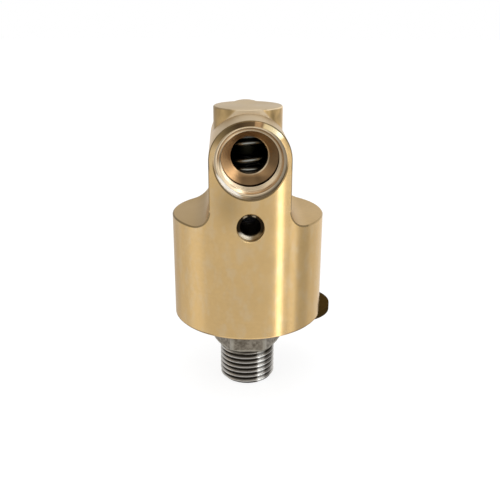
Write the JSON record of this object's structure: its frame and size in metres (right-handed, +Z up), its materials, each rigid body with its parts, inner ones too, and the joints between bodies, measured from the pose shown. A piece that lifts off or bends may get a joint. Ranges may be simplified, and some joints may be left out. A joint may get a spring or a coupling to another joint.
{
  "type": "hydraulic rotary union",
  "caption": "Right-angle rotary union: a brass housing with side inlet and leak drain feeds a turning hollow stainless rotor with a threaded end through a spring-loaded face seal.",
  "frame": {"origin": "on the rotor's axis at the underside of its hexagon, the plane that seats when the thread is screwed home", "axes": "+Z up the rotor's axis, away from the thread; -Y out of the inlet port"},
  "size_m": [0.0458, 0.042, 0.0804],
  "materials": {
    "housing_brass": "turned and milled brass, satin, with bright edges",
    "rotor_stainless": "turned stainless steel",
    "bearing_steel": "ground bearing steel",
    "ball_steel": "polished bearing balls",
    "cage_polymer": "natural moulded polymer",
    "shield_steel": "pressed sheet steel",
    "spacer_steel": "turned steel",
    "spring_steel": "hardened spring steel",
    "circlip_steel": "phosphated spring steel",
    "ceramic_ring": "lapped silicon carbide, dark grey",
    "carbon_ring": "lapped carbon graphite",
    "carrier_stainless": "turned stainless steel",
    "oring_rubber": "black nitrile rubber",
    "backup_white": "white fluoropolymer",
    "wire_stainless": "drawn stainless spring wire",
    "pin_steel": "ground dowel steel",
    "tab_bronzed": "bronzed sheet steel, dark brown",
    "screw_steel": "blackened steel"
  },
  "bodies": {
    "housing": {"housing": "housing_brass", "lower_outer_race": "bearing_steel", "upper_outer_race": "bearing_steel", "lower_bearing_shields": "shield_steel", "upper_bearing_shields": "shield_steel", "outer_spacer": "spacer_steel", "preload_spring": "spring_steel", "housing_circlip": "circlip_steel", "dust_shield": "shield_steel", "anti_rotation_pin": "pin_steel", "seal_spring": "wire_stainless", "torque_tab": "tab_bronzed", "torque_tab_screws": "screw_steel"},
    "rotor": {"rotor": "rotor_stainless", "lower_inner_race": "bearing_steel", "upper_inner_race": "bearing_steel", "inner_spacer": "spacer_steel", "rotor_circlip": "circlip_steel", "rotating_seal_ring": "ceramic_ring", "rotating_ring_oring": "oring_rubber"},
    "lower_cage": {"lower_ball_cage": "cage_polymer", "lower_balls": "ball_steel"},
    "upper_cage": {"upper_ball_cage": "cage_polymer", "upper_balls": "ball_steel"},
    "floating_seal": {"seal_carrier": "carrier_stainless", "stationary_seal_ring": "carbon_ring", "piston_oring": "oring_rubber", "piston_backup_ring": "backup_white"}
  },
  "joints": [
    {"name": "rotor_spin", "type": "hinge", "parent": "housing", "child": "rotor", "pos_m": [0, 0, 0], "axis": [0, 0, 1], "continuous": true},
    {"name": "lower_cage_spin", "type": "hinge", "parent": "housing", "child": "lower_cage", "pos_m": [0, 0, 0.0165], "axis": [0, 0, 1], "continuous": true},
    {"name": "upper_cage_spin", "type": "hinge", "parent": "housing", "child": "upper_cage", "pos_m": [0, 0, 0.0275], "axis": [0, 0, 1], "continuous": true},
    {"name": "seal_float", "type": "slide", "parent": "housing", "child": "floating_seal", "axis": [0, 0, 1], "range_m": [0, 0.001], "stiffness_N_per_m": 6000, "springref_m": -0.004, "deforming": ["seal_spring"]}
  ],
  "couplings": [
    {"joint": "lower_cage_spin", "follows": "rotor_spin", "ratio": 0.41861},
    {"joint": "upper_cage_spin", "follows": "rotor_spin", "ratio": 0.41861}
  ]
}
